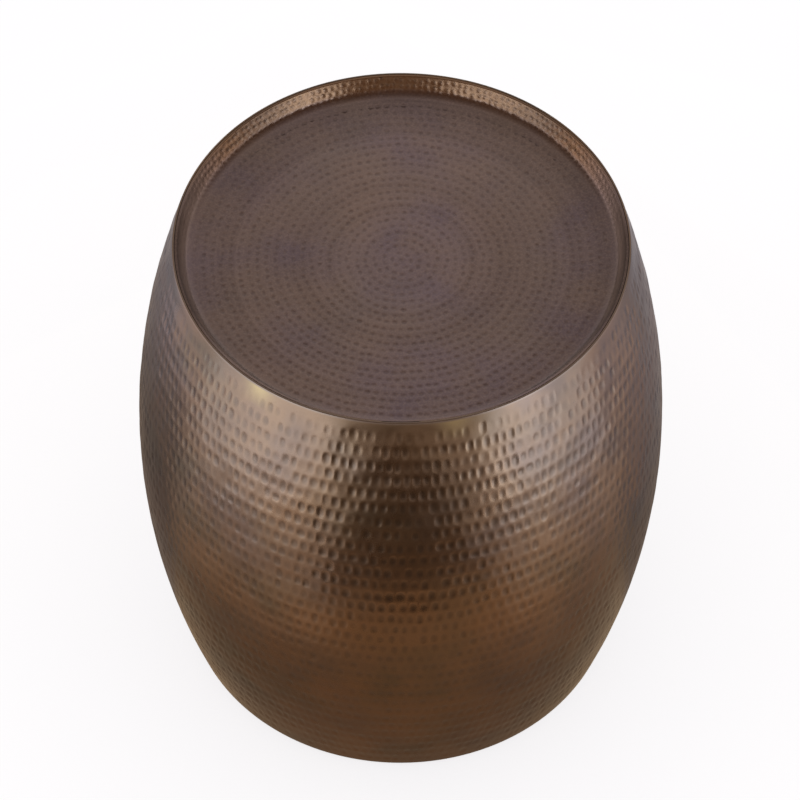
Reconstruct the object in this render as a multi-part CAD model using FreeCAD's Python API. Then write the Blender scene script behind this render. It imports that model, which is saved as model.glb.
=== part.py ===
import FreeCAD
import Part

import math
import os

# Drum side table: a barrel of hammered sheet with a sunken round tray.
# Millimetres. The drum's axis is Z, the floor is z = 0 and the front is -Y.

# Barrel wall
wall_height = 438.0             # bottom edge to rim
mouth_diameter = 345.0          # outside, the same at the rim and at the bottom edge
belly_swell = 32.5              # how far the belly stands out beyond the mouth, at mid height
wall_sheet = 1.5

# Tray, dished from one sheet
tray_sheet = 1.5
tray_depth = 13.0               # rim down to the tray's floor
tray_bend_radius = 9.0          # inside, where the floor turns up into the lip
lip_angle = 60.0                # degrees between the floor and the lip
rim_gap = 0.3                   # between the lip's edge and the wall's edge

# Brackets inside the wall that carry the tray
bracket_strip = 2.5             # thickness of the strip
bracket_width = 30.0
bracket_drop = 30.0             # height of the leg on the wall
bracket_bend = 3.0              # inside radius of the bend
bracket_end_margin = 12.0       # strip beyond the stud, toward the axis
weld_gap = 0.2                  # root gap of the welds on the wall

# Studs under the tray, with their washers and nuts
stud_diameter = 5.0
stud_end = 4.0                  # thread that shows below the nut
stud_inset = 12.0               # from the edge of the tray's flat floor to the stud
stud_hole_clearance = 1.0       # on the diameter, in the bracket and in the washer
washer_diameter = 12.0
washer_thickness = 1.0
tray_nut_flats = 8.0
tray_nut_height = 4.0

# Hoop in the lower mouth
ring_width = 26.0
ring_thickness = 3.0

# Feet
glide_diameter = 22.0
glide_web = 2.0                 # plastic between the screw's head and the hoop
glide_edge_round = 1.0
glide_recess_clearance = 0.6    # on the diameter, around the screw's head

# Screws and nuts that hold the feet
screw_diameter = 4.0
screw_hole_clearance = 0.4      # on the diameter, in the foot and in the hoop
screw_head_diameter = 8.0
screw_head_height = 2.4
screw_head_sink = 0.6           # from the floor up to the head
screw_head_round = 0.8
screw_slot_width = 1.0
screw_slot_depth = 1.0
screw_end = 2.0                 # thread that shows above the nut
glide_nut_flats = 7.0
glide_nut_height = 3.2

thread_clearance = 0.1          # on the diameter, between a nut and its thread
edge_tolerance = 0.001          # for finding an edge by its place

# Four places around the axis, in degrees from +X
places = {"front": -90.0, "right": 0.0, "back": 90.0, "left": 180.0}

# Heights that follow from the sizes above; the feet lift the wall's bottom edge off the floor
head_top_z = screw_head_sink + screw_head_height
bottom_z = head_top_z + glide_web
rim_z = bottom_z + wall_height
middle_z = bottom_z + wall_height / 2
tray_floor_z = rim_z - tray_depth
seat_z = tray_floor_z - tray_sheet
axis_start = FreeCAD.Vector(0, 0, 0)
axis_way = FreeCAD.Vector(0, 0, 1)

# The wall's outside is one arc through the two mouths and the belly
arc_radius = ((wall_height / 2) ** 2 + belly_swell ** 2) / (2 * belly_swell)
arc_centre_x = mouth_diameter / 2 + belly_swell - arc_radius


def wall_radius(z, inset):
    """Radius, at height z, of the wall's outside arc moved inward by inset."""
    return arc_centre_x + math.sqrt((arc_radius - inset) ** 2 - (z - middle_z) ** 2)


def wall_point(z, inset):
    """Point of that arc in the XZ plane."""
    return point(wall_radius(z, inset), z)


def point(x, z):
    return FreeCAD.Vector(x, 0, z)


def line(start, end):
    return Part.LineSegment(start, end).toShape()


def wall_arc(start_z, end_z, inset):
    """Stretch of the wall's arc between two heights."""
    points = [wall_point(z, inset) for z in (start_z, (start_z + end_z) / 2, end_z)]
    return Part.Arc(*points).toShape()


def turned(edges, angle=360.0):
    """Solid made by turning a closed outline in the XZ plane around the axis."""
    face = Part.Face(Part.Wire(edges))
    return face.revolve(axis_start, axis_way, angle)


def rod(diameter, start_z, end_z, x):
    """Upright cylinder at distance x from the axis."""
    return Part.makeCylinder(diameter / 2, end_z - start_z, point(x, start_z))


def tube(outer_diameter, bore, start_z, end_z, x):
    return rod(outer_diameter, start_z, end_z, x).cut(rod(bore, start_z, end_z, x))


def nut(flats, bore, start_z, end_z, x):
    """Hexagon nut at distance x from the axis."""
    first_corner = FreeCAD.Vector(flats / math.sqrt(3), 0, 0)
    middle = point(x, start_z)
    corners = []
    for side in range(7):
        turn = FreeCAD.Rotation(axis_way, 60 * side)
        corners.append(middle + turn.multVec(first_corner))
    outline = Part.makePolygon(corners)
    block = Part.Face(outline).extrude(FreeCAD.Vector(0, 0, end_z - start_z))
    return block.cut(rod(bore, start_z, end_z, x))


def level_circles(shape, radius, z):
    """Edges of the shape that are level arcs of the given radius around the axis at height z."""
    found = []
    for edge in shape.Edges:
        is_circle = isinstance(edge.Curve, Part.Circle)
        if not is_circle:
            continue
        same_radius = abs(edge.Curve.Radius - radius) < edge_tolerance
        same_height = abs(edge.Curve.Center.z - z) < edge_tolerance
        if same_radius and same_height:
            found.append(edge)
    return found


def rounded_foot(disc, radius):
    """Upright cylinder with its lower edge rounded."""
    foot_z = disc.BoundBox.ZMin
    lower_edge = [edge for edge in disc.Edges if edge.BoundBox.ZMax < foot_z + edge_tolerance]
    return disc.makeFillet(radius, lower_edge)


def at_place(shape, angle):
    """Copy of a shape built on +X, turned around the axis to its place."""
    copy = shape.copy()
    copy.rotate(axis_start, axis_way, angle)
    return copy


def at_all_places(shape):
    return Part.makeCompound([at_place(shape, angle) for angle in places.values()])


def barrel_shell():
    outside = wall_arc(bottom_z, rim_z, 0)
    rim = line(wall_point(rim_z, 0), wall_point(rim_z, wall_sheet))
    inside = wall_arc(rim_z, bottom_z, wall_sheet)
    foot = line(wall_point(bottom_z, wall_sheet), wall_point(bottom_z, 0))
    return turned([outside, rim, inside, foot])


# The tray's lip ends flush with the rim, just inside the wall
lip_slope = math.radians(lip_angle)
lip_outer_radius = wall_radius(rim_z, wall_sheet) - rim_gap
lip_inner_radius = lip_outer_radius - tray_sheet / math.sin(lip_slope)
bend_rise = tray_bend_radius * (1 - math.cos(lip_slope))
bend_reach = tray_bend_radius * math.sin(lip_slope)
flat_radius = lip_inner_radius - (tray_depth - bend_rise) / math.tan(lip_slope) - bend_reach


def bend_point(radius, angle):
    """Point on the tray's bend, with the angle counted from the floor up toward the lip."""
    x = flat_radius + radius * math.sin(angle)
    z = tray_floor_z + tray_bend_radius - radius * math.cos(angle)
    return point(x, z)


def bend_arc(radius, start_angle, end_angle):
    angles = (start_angle, (start_angle + end_angle) / 2, end_angle)
    return Part.Arc(*[bend_point(radius, angle) for angle in angles]).toShape()


def top_tray():
    under_radius = tray_bend_radius + tray_sheet
    lip_outer = point(lip_outer_radius, rim_z)
    lip_inner = point(lip_inner_radius, rim_z)
    edges = [
        line(point(0, seat_z), bend_point(under_radius, 0)),
        bend_arc(under_radius, 0, lip_slope),
        line(bend_point(under_radius, lip_slope), lip_outer),
        line(lip_outer, lip_inner),
        line(lip_inner, bend_point(tray_bend_radius, lip_slope)),
        bend_arc(tray_bend_radius, lip_slope, 0),
        line(bend_point(tray_bend_radius, 0), point(0, tray_floor_z)),
        line(point(0, tray_floor_z), point(0, seat_z)),
    ]
    return turned(edges)


# The tray is held at four studs, each through a bracket
stud_x = flat_radius - stud_inset
stud_hole = stud_diameter + stud_hole_clearance
bracket_under_z = seat_z - bracket_strip
washer_under_z = bracket_under_z - washer_thickness
nut_under_z = washer_under_z - tray_nut_height


def seat_bracket():
    """L-shaped bracket on +X, with its leg curved to the wall and its shelf under the tray."""
    back = wall_sheet + weld_gap
    front = back + bracket_strip
    leg_end_z = seat_z - bracket_drop
    tip_x = stud_x - bracket_end_margin
    edges = [
        wall_arc(seat_z, leg_end_z, back),
        line(wall_point(leg_end_z, back), wall_point(leg_end_z, front)),
        wall_arc(leg_end_z, bracket_under_z, front),
        line(wall_point(bracket_under_z, front), point(tip_x, bracket_under_z)),
        line(point(tip_x, bracket_under_z), point(tip_x, seat_z)),
        line(point(tip_x, seat_z), wall_point(seat_z, back)),
    ]
    half_angle = math.degrees(math.asin(bracket_width / 2 / wall_radius(seat_z, back)))
    body = turned(edges, 2 * half_angle)
    body.rotate(axis_start, axis_way, -half_angle)
    inner_bend = level_circles(body, wall_radius(bracket_under_z, front), bracket_under_z)
    body = body.makeFillet(bracket_bend, inner_bend)
    outer_bend = level_circles(body, wall_radius(seat_z, back), seat_z)
    body = body.makeFillet(bracket_bend + bracket_strip, outer_bend)
    return body.cut(rod(stud_hole, bracket_under_z, seat_z, stud_x))


def tray_stud():
    return rod(stud_diameter, nut_under_z - stud_end, seat_z, stud_x)


def tray_washer():
    return tube(washer_diameter, stud_hole, washer_under_z, bracket_under_z, stud_x)


def tray_nut():
    bore = stud_diameter + thread_clearance
    return nut(tray_nut_flats, bore, nut_under_z, washer_under_z, stud_x)


# The hoop lies flush with the wall's bottom edge, where the mouth is narrowest
ring_outer_radius = wall_radius(bottom_z, wall_sheet) - weld_gap
ring_top_z = bottom_z + ring_thickness
glide_nut_top_z = ring_top_z + glide_nut_height
glide_x = ring_outer_radius - ring_width / 2
screw_hole = screw_diameter + screw_hole_clearance


def base_ring():
    outer = 2 * ring_outer_radius
    ring = tube(outer, outer - 2 * ring_width, bottom_z, ring_top_z, 0)
    hole = rod(screw_hole, bottom_z, ring_top_z, glide_x)
    return ring.cut(at_all_places(hole))


def floor_glide():
    """Foot on +X, with a hollow below that takes the screw's head."""
    disc = rounded_foot(rod(glide_diameter, 0, bottom_z, glide_x), glide_edge_round)
    recess = rod(screw_head_diameter + glide_recess_clearance, 0, head_top_z, glide_x)
    hole = rod(screw_hole, head_top_z, bottom_z, glide_x)
    return disc.cut(recess).cut(hole)


def glide_screw():
    """Slotted pan-head screw on +X, put in from below."""
    head = rounded_foot(rod(screw_head_diameter, screw_head_sink, head_top_z, glide_x), screw_head_round)
    slot_corner = FreeCAD.Vector(glide_x - screw_head_diameter / 2, -screw_slot_width / 2, screw_head_sink)
    slot = Part.makeBox(screw_head_diameter, screw_slot_width, screw_slot_depth, slot_corner)
    shank = rod(screw_diameter, head_top_z, glide_nut_top_z + screw_end, glide_x)
    return head.cut(slot).fuse(shank).removeSplitter()


def glide_nut():
    bore = screw_diameter + thread_clearance
    return nut(glide_nut_flats, bore, ring_top_z, glide_nut_top_z, glide_x)


def save(name, shape):
    shape.exportStep("parts/" + name + ".step")
    print(name, len(shape.Solids), "solids", round(shape.Volume, 1), "mm3, valid", shape.isValid())


os.makedirs("parts", exist_ok=True)

save("barrel_shell", barrel_shell())
save("top_tray", top_tray())
for place, angle in places.items():
    save("seat_bracket_" + place, at_place(seat_bracket(), angle))
save("tray_studs", at_all_places(tray_stud()))
save("tray_washers", at_all_places(tray_washer()))
save("tray_nuts", at_all_places(tray_nut()))
save("base_ring", base_ring())
for place, angle in places.items():
    save("floor_glide_" + place, at_place(floor_glide(), angle))
save("glide_screws", at_all_places(glide_screw()))
save("glide_nuts", at_all_places(glide_nut()))
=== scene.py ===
"""Looks of a drum side table in hammered bronze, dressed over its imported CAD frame.

Metres, in the frame of the CAD: the drum's axis is Z, the floor is z = 0 and the front is -Y.
"""

from __future__ import annotations

import logging
import math
from dataclasses import dataclass, field
from enum import Enum

import bpy
import numpy as np
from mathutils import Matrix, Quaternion, Vector


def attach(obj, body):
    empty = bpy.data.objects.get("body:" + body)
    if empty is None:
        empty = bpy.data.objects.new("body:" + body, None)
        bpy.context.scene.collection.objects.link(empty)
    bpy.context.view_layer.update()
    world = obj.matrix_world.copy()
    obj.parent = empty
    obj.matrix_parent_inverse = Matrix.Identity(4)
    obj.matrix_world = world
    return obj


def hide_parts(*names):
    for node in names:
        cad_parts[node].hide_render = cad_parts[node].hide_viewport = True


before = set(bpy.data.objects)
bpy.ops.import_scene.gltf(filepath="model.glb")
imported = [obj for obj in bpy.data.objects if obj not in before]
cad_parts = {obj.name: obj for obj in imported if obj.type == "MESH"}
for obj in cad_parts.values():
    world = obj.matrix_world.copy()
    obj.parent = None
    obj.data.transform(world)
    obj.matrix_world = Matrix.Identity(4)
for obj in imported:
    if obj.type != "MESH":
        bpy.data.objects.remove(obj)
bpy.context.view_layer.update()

log = logging.getLogger("drum_table")

Colour = tuple[float, float, float]

BODY = "root"
MAP_NAME = "OFBake"
FULL_TURN = 2 * math.pi

# Shares of a rounding at which a sheet's edge has a ring of points.
EDGE_STEPS = (0.0, 0.3, 0.7, 1.0)
# How far beside its roundings a ring of points keeps the edge's flat level.
EDGE_HOLD = 0.00006
# Sines of the angles at which the painted shade on the sheets' edges starts toward the back and is full.
EDGE_DARK = (-0.2, 0.6)
# How much of its half of the flat map a disc fills.
DISC_FILL = 0.98
# Bearing in degrees and colour of the faint lamps that stand further back.
BACK_BEARING = 104.0
BACK_LIGHT: Colour = (0.95, 0.93, 1.0)


class Slot(Enum):
    """The record's material slots."""

    BRONZE = "hammered_bronze"
    BRACKET = "bracket_steel"
    HOOP = "hoop_steel"
    FASTENER = "zinc_fasteners"
    GLIDE = "glide_plastic"


class Side(Enum):
    """The drum's two sides as the photo shows them, each with its sign along X."""

    LEFT = -1.0
    RIGHT = 1.0


class Mark(Enum):
    """Values kept at each point of a hammered mesh, which its finish reads."""

    DENT = "dent"
    # Painted golden highlights: under the wall's rim, and on the tray lip's lit back.
    RIM_GLOW = "rim_glow"
    # Painted light and shade on the sheets' edges: light at the wall's front edge, shade at the tray's back
    # edge.
    EDGE = "sheet_edge"
    # Painted shade on the tray, with real random tarnish on its rings of pits.
    GRIME = "tarnish"
    # Painted sheen on the tray lip's sides.
    SIDE_SHEEN = "side_shine"


def ramp(value: np.ndarray | float, start: float, full: float) -> np.ndarray | float:
    """Gives 0 up to the start, 1 from the full value on, and an even rise between."""
    return np.clip((value - start) / (full - start), 0.0, 1.0)


def edge_shade_share(angles: np.ndarray) -> np.ndarray:
    """Says how much painted shade the sheets' edges take: 1 at the back, and 0 at the front."""
    return ramp(np.sin(angles), *EDGE_DARK)


def edge_path(
    start: np.ndarray, corners: tuple[np.ndarray, np.ndarray], end: np.ndarray, rounds: tuple[float, float]
) -> list[np.ndarray]:
    """Goes around the edge of a sheet, over two rounded corners and the flat between them.

    Args:
        start: Where the first rounding starts.
        corners: The two sharp corners, each as distance from the axis and height.
        end: Where the second rounding ends.
        rounds: How far the roundings reach into the flat.

    Returns:
        Points along the edge. Two of them keep the flat level beside its roundings.
    """
    first, second = corners
    across = (second - first) / np.linalg.norm(second - first)
    flat_start = first + across * rounds[0]
    flat_end = second - across * rounds[1]
    steps = np.array(EDGE_STEPS)[:, None]
    outward = start * (1 - steps) ** 2 + first * 2 * steps * (1 - steps) + flat_start * steps**2
    inward = flat_end * (1 - steps) ** 2 + second * 2 * steps * (1 - steps) + end * steps**2
    return [*outward, flat_start + across * EDGE_HOLD, flat_end - across * EDGE_HOLD, *inward]


def numbers(items: bpy.types.bpy_prop_collection, name: str) -> np.ndarray:
    """Reads a whole number from each item of a mesh.

    Args:
        items: The mesh's loops or polygons.
        name: The number's name.

    Returns:
        The numbers, in the items' order.
    """
    found = np.empty(len(items), np.int32)
    items.foreach_get(name, found)
    return found


@dataclass(frozen=True)
class Pattern:
    """How soft patches are laid in a finish.

    It holds how many finer layers they have, a shift that keeps two patterns apart, and the range of the
    noise that is stretched to the patches' whole strength.
    """

    detail: float
    shift: float = 0.0
    low: float = 0.35
    high: float = 0.65


class NodeSheet:
    """One material's nodes, with short calls that add and join them."""

    def __init__(self, name: str) -> None:
        """Makes the material and finds its shader.

        Args:
            name: The material's name.
        """
        self.material = bpy.data.materials.new(name)
        self.material.use_nodes = True
        self.tree = self.material.node_tree
        self.shader = self.tree.nodes["Principled BSDF"]
        self.place = self.add("ShaderNodeTexCoord").outputs["Object"]

    def add(self, kind: str, **settings: object) -> bpy.types.Node:
        """Adds a node.

        Args:
            kind: Blender's name for the node type.
            settings: Properties to set on it.

        Returns:
            The new node.
        """
        node = self.tree.nodes.new(kind)
        for key, value in settings.items():
            setattr(node, key, value)
        return node

    def join(self, source: bpy.types.NodeSocket, target: bpy.types.NodeSocket) -> None:
        """Links one node's output to another's input."""
        self.tree.links.new(source, target)

    def constants(self, **values: float) -> None:
        """Sets numbers on the shader's own sockets, each named with _ for a space."""
        for key, value in values.items():
            self.shader.inputs[key.replace("_", " ").title()].default_value = value

    def noise(self, size: float, detail: float = 2.0, shift: float = 0.0) -> bpy.types.NodeSocket:
        """Adds noise.

        Args:
            size: Rough size of its patches in metres.
            detail: How many finer layers it has.
            shift: Moves the noise, so that two layers differ.

        Returns:
            A value around one half.
        """
        moved = self.add("ShaderNodeVectorMath", operation="ADD")
        moved.inputs[1].default_value = (shift, shift, shift)
        self.join(self.place, moved.inputs[0])
        node = self.add("ShaderNodeTexNoise")
        node.inputs["Scale"].default_value = 1.0 / size
        node.inputs["Detail"].default_value = detail
        self.join(moved.outputs[0], node.inputs["Vector"])
        return node.outputs["Fac"]

    def kept(self, mark: Mark) -> bpy.types.NodeSocket:
        """Gives the value that the mesh keeps under the mark's name."""
        return self.add("ShaderNodeAttribute", attribute_name=mark.value).outputs["Fac"]

    def spread(
        self, value: bpy.types.NodeSocket, low: float, high: float, to_low: float, to_high: float
    ) -> bpy.types.NodeSocket:
        """Stretches a value from one range to another, held at the ends.

        Args:
            value: The value to stretch.
            low: Start of its own range.
            high: End of its own range.
            to_low: What low becomes.
            to_high: What high becomes.

        Returns:
            The stretched value.
        """
        node = self.add("ShaderNodeMapRange", clamp=True)
        for socket, number in zip(node.inputs[1:5], (low, high, to_low, to_high)):
            socket.default_value = number
        self.join(value, node.inputs[0])
        return node.outputs[0]

    def patches(
        self, size: float, pattern: Pattern, weakest: float = 0.0, strongest: float = 1.0
    ) -> bpy.types.NodeSocket:
        """Adds soft patches, stretched as their pattern says.

        Args:
            size: Rough size of a patch in metres.
            pattern: How the patches are laid.
            weakest: What the low end of the pattern's range becomes.
            strongest: What its high end becomes.

        Returns:
            The patches' strength.
        """
        noise = self.noise(size, pattern.detail, pattern.shift)
        return self.spread(noise, pattern.low, pattern.high, weakest, strongest)

    def total(self, first: bpy.types.NodeSocket, second: bpy.types.NodeSocket) -> bpy.types.NodeSocket:
        """Adds two values.

        Args:
            first: One value.
            second: The other.

        Returns:
            Their sum.
        """
        node = self.add("ShaderNodeMath", operation="ADD")
        self.join(first, node.inputs[0])
        self.join(second, node.inputs[1])
        return node.outputs[0]

    def blend(
        self,
        share: bpy.types.NodeSocket,
        first: Colour | bpy.types.NodeSocket,
        second: Colour | bpy.types.NodeSocket,
    ) -> bpy.types.NodeSocket:
        """Mixes two colours.

        Args:
            share: 0 gives the first colour and 1 the second.
            first: A colour, or the socket that gives it.
            second: A colour, or the socket that gives it.

        Returns:
            The mixed colour.
        """
        node = self.add("ShaderNodeMix", data_type="RGBA")
        self.join(share, node.inputs[0])
        for socket, colour in zip(node.inputs[6:8], (first, second)):
            if isinstance(colour, tuple):
                socket.default_value = (*colour, 1.0)
            else:
                self.join(colour, socket)
        return node.outputs[2]

    def bump(self, height: bpy.types.NodeSocket, depth: float) -> None:
        """Adds fine relief to the shader.

        Args:
            height: The relief's height, 0 to 1.
            depth: What 1 stands for, in metres.
        """
        node = self.add("ShaderNodeBump")
        node.inputs["Distance"].default_value = depth
        self.join(height, node.inputs["Height"])
        self.join(node.outputs["Normal"], self.shader.inputs["Normal"])


@dataclass(frozen=True)
class HammeredBronze:
    """Darkened bronze under a thin lacquer, with patina left in the hammer marks."""

    name: str
    warm: Colour
    olive: Colour
    violet: Colour
    pit: Colour
    # Colour of the painted golden highlights.
    highlight_gold: Colour
    # Colour of the edges' painted light and shade.
    edge: Colour
    # Colour of the painted shade, and of the tarnish on the tray's rings.
    grime: Colour = (0.040, 0.022, 0.015)
    # Colour of the painted sheen on the tray lip's sides, and of pale specks.
    side_sheen: Colour = (0.30, 0.20, 0.15)
    edge_tint: Colour = (0.5, 0.5, 0.5)
    pit_start: float = 0.1
    pit_share: float = 0.2
    streak_share: float = 0.6
    speck_share: float = 0.0
    roughness: float = 0.30
    roughness_swing: float = 0.08
    pale_roughness: float = 0.0
    coat: float = 0.6
    coat_roughness: float = 0.22
    cloud_size: float = 0.11
    streak_size: float = 0.035
    speck_size: float = 0.0016
    grain_size: float = 0.0012
    grain_depth: float = 0.00002
    clouds: Pattern = Pattern(3.0, 0.0, 0.38, 0.62)
    haze: Pattern = Pattern(2.0, 3.7, 0.42, 0.66)
    streaks: Pattern = Pattern(3.0, 8.1)
    specks: Pattern = Pattern(1.0, 6.4, 0.4, 0.75)
    smears: Pattern = Pattern(4.0, 5.3)

    def material(self) -> bpy.types.Material:
        """Builds the finish.

        Returns:
            The new material.
        """
        sheet = NodeSheet(self.name)
        clouds = sheet.patches(self.cloud_size, self.clouds)
        haze = sheet.patches(self.cloud_size, self.haze)
        streaks = sheet.patches(self.streak_size, self.streaks, strongest=self.streak_share)
        colour = sheet.blend(clouds, self.warm, self.olive)
        colour = sheet.blend(haze, colour, self.violet)
        colour = sheet.blend(streaks, colour, self.warm)
        # Painted golden highlights.
        colour = sheet.blend(sheet.kept(Mark.RIM_GLOW), colour, self.highlight_gold)
        # Painted sheen on the tray lip's sides.
        colour = sheet.blend(sheet.kept(Mark.SIDE_SHEEN), colour, self.side_sheen)
        # Painted shade on the tray, with tarnish on its rings.
        colour = sheet.blend(sheet.kept(Mark.GRIME), colour, self.grime)
        dents = sheet.spread(sheet.kept(Mark.DENT), self.pit_start, 1.0, 0.0, self.pit_share)
        colour = sheet.blend(dents, colour, self.pit)
        specks = sheet.patches(self.speck_size, self.specks, strongest=self.speck_share)
        colour = sheet.blend(specks, colour, self.side_sheen)
        # The edges' painted light at the wall's front and painted shade at the tray's back.
        colour = sheet.blend(sheet.kept(Mark.EDGE), colour, self.edge)
        sheet.join(colour, sheet.shader.inputs["Base Color"])
        smoothest = self.roughness - self.roughness_swing / 2
        roughest = self.roughness + self.roughness_swing / 2
        smears = sheet.patches(self.streak_size, self.smears, smoothest, roughest)
        matt = sheet.spread(sheet.kept(Mark.SIDE_SHEEN), 0.0, 1.0, 0.0, self.pale_roughness)
        sheet.join(sheet.total(smears, matt), sheet.shader.inputs["Roughness"])
        sheet.bump(sheet.noise(self.grain_size), self.grain_depth)
        sheet.constants(metallic=1.0, coat_weight=self.coat, coat_roughness=self.coat_roughness)
        sheet.shader.inputs["Specular Tint"].default_value = (*self.edge_tint, 1.0)
        return sheet.material


@dataclass(frozen=True)
class PlainFinish:
    """A plain finish with faint patches, for the fittings inside."""

    name: str
    dark: Colour
    side_sheen: Colour
    metallic: float
    roughness: float
    roughness_swing: float = 0.16
    patch_size: float = 0.012
    grain_size: float = 0.0008
    grain_depth: float = 0.00003
    patches: Pattern = Pattern(4.0)
    wear: Pattern = Pattern(3.0, 2.9, 0.3, 0.7)

    def material(self) -> bpy.types.Material:
        """Builds the finish.

        Returns:
            The new material.
        """
        sheet = NodeSheet(self.name)
        patches = sheet.patches(self.patch_size, self.patches)
        sheet.join(sheet.blend(patches, self.dark, self.side_sheen), sheet.shader.inputs["Base Color"])
        smoothest = self.roughness - self.roughness_swing / 2
        roughest = self.roughness + self.roughness_swing / 2
        wear = sheet.patches(self.patch_size, self.wear, smoothest, roughest)
        sheet.join(wear, sheet.shader.inputs["Roughness"])
        sheet.bump(sheet.noise(self.grain_size), self.grain_depth)
        sheet.constants(metallic=self.metallic)
        return sheet.material


@dataclass(frozen=True)
class GlowFinish:
    """Light that a card gives off, which changes with the distance from one point."""

    name: str
    near: Colour
    far: Colour
    near_radius: float = 0.35
    far_radius: float = 0.63
    centre: tuple[float, float, float] = (0.0, 0.0, 0.0)

    def material(self) -> bpy.types.Material:
        """Builds the finish.

        Returns:
            The new material.
        """
        sheet = NodeSheet(self.name)
        distance = sheet.add("ShaderNodeVectorMath", operation="DISTANCE")
        distance.inputs[1].default_value = self.centre
        sheet.join(sheet.place, distance.inputs[0])
        share = sheet.spread(distance.outputs["Value"], self.near_radius, self.far_radius, 0.0, 1.0)
        sheet.join(sheet.blend(share, self.near, self.far), sheet.shader.inputs["Emission Color"])
        sheet.shader.inputs["Base Color"].default_value = (0.0, 0.0, 0.0, 1.0)
        sheet.constants(emission_strength=1.0, roughness=1.0)
        return sheet.material


@dataclass(frozen=True)
class FloorFinish:
    """A pale floor that the camera and the metal see as white, with the drum's soft shadow on it."""

    name: str = "pale_floor"
    shaded: Colour = (0.22, 0.22, 0.22)
    glow: Colour = (1.0, 0.985, 1.0)
    glow_strength: float = 0.775

    def material(self) -> bpy.types.Material:
        """Builds the finish.

        Returns:
            The new material.
        """
        sheet = NodeSheet(self.name)
        path = sheet.add("ShaderNodeLightPath").outputs
        seen = sheet.total(path["Is Camera Ray"], path["Is Glossy Ray"])
        seen = sheet.total(seen, path["Is Transmission Ray"])
        strength = sheet.spread(seen, 0.0, 1.0, 0.0, self.glow_strength)
        sheet.join(strength, sheet.shader.inputs["Emission Strength"])
        sheet.shader.inputs["Emission Color"].default_value = (*self.glow, 1.0)
        sheet.shader.inputs["Base Color"].default_value = (*self.shaded, 1.0)
        sheet.constants(roughness=1.0)
        return sheet.material


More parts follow.
